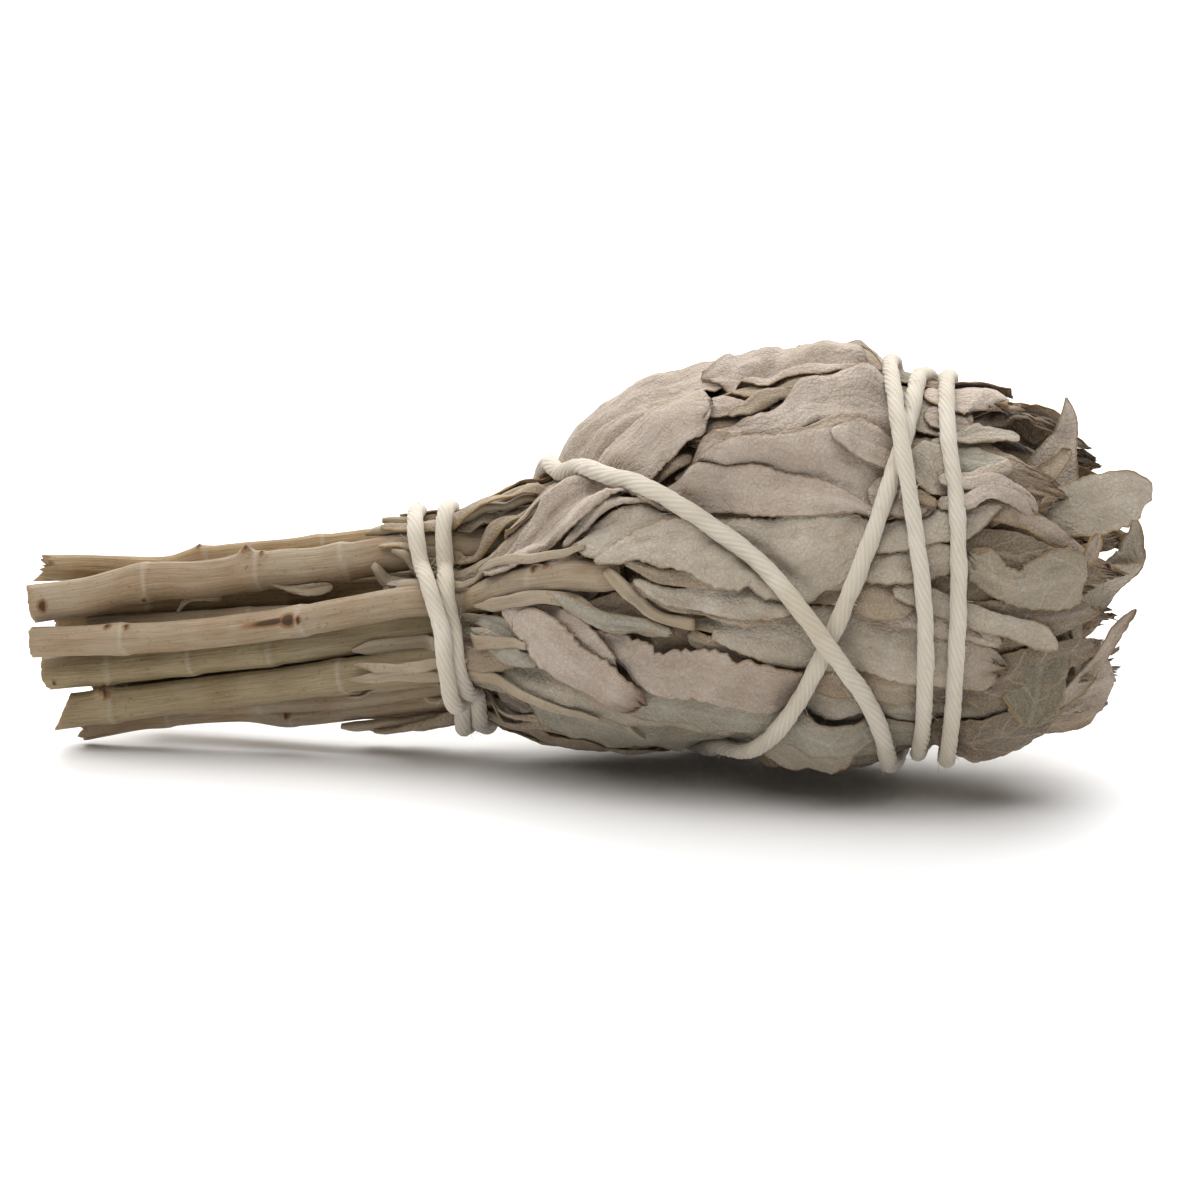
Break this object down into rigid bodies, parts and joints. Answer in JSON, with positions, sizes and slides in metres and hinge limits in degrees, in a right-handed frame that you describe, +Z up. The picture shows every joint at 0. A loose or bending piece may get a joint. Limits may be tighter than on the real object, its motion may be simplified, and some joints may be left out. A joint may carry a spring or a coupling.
{
  "type": "smudge stick",
  "caption": "Small bundle of dried white sage: bare stems at one end, pale leaves folded into a bulb at the other, tied with cotton twine. It lies on its side.",
  "frame": {"origin": "on the table, under the middle of the bundle's box", "axes": "+X along the bundle from the cut stems to the leaf tips, +Z up from the table"},
  "size_m": [0.1134, 0.0471, 0.0446],
  "materials": {
    "leaf": "matt, downy dried leaf",
    "bark": "dry stem bark",
    "twine": "undyed cotton"
  },
  "bodies": {
    "root": {"leaf_back_1": "leaf", "leaf_back_2": "leaf", "leaf_back_3": "leaf", "leaf_back_4": "leaf", "leaf_back_5": "leaf", "leaf_band_high": "leaf", "leaf_bed_1": "leaf", "leaf_bed_2": "leaf", "leaf_bed_3": "leaf", "leaf_bed_4": "leaf", "leaf_bed_5": "leaf", "leaf_bed_6": "leaf", "leaf_bed_7": "leaf", "leaf_bed_8": "leaf", "leaf_blue_strip": "leaf", "leaf_broad_grey": "leaf", "leaf_crescent": "leaf", "leaf_crest_back": "leaf", "leaf_crown": "leaf", "leaf_dark_green": "leaf", "leaf_flare": "leaf", "leaf_fold_tip": "leaf", "leaf_golden_rim": "leaf", "leaf_inner_1": "leaf", "leaf_inner_2": "leaf", "leaf_inner_3": "leaf", "leaf_low_band": "leaf", "leaf_lower_pink": "leaf", "leaf_mid_band": "leaf", "leaf_mid_green": "leaf", "leaf_open_v": "leaf", "leaf_pink_tip": "leaf", "leaf_pointed": "leaf", "leaf_right_band": "leaf", "leaf_ring_1": "leaf", "leaf_ring_2": "leaf", "leaf_ring_3": "leaf", "leaf_ring_4": "leaf", "leaf_ring_5": "leaf", "leaf_shoulder_high": "leaf", "leaf_shoulder_low": "leaf", "leaf_spike": "leaf", "leaf_top_torn": "leaf", "leaf_under_pink": "leaf", "leaf_under_pointed": "leaf", "leaf_underside": "leaf", "leaf_wide_right": "leaf", "leaf_yellow_rib": "leaf", "stem_back_lower": "bark", "stem_back_upper": "bark", "stem_centre": "bark", "stem_front": "bark", "stem_front_low": "bark", "stem_front_recessed": "bark", "stem_low_back": "bark", "stem_lowest": "bark", "stem_middle_recessed": "bark", "stem_top_back": "bark", "stem_top_front": "bark", "twine": "twine"}
  },
  "joints": []
}
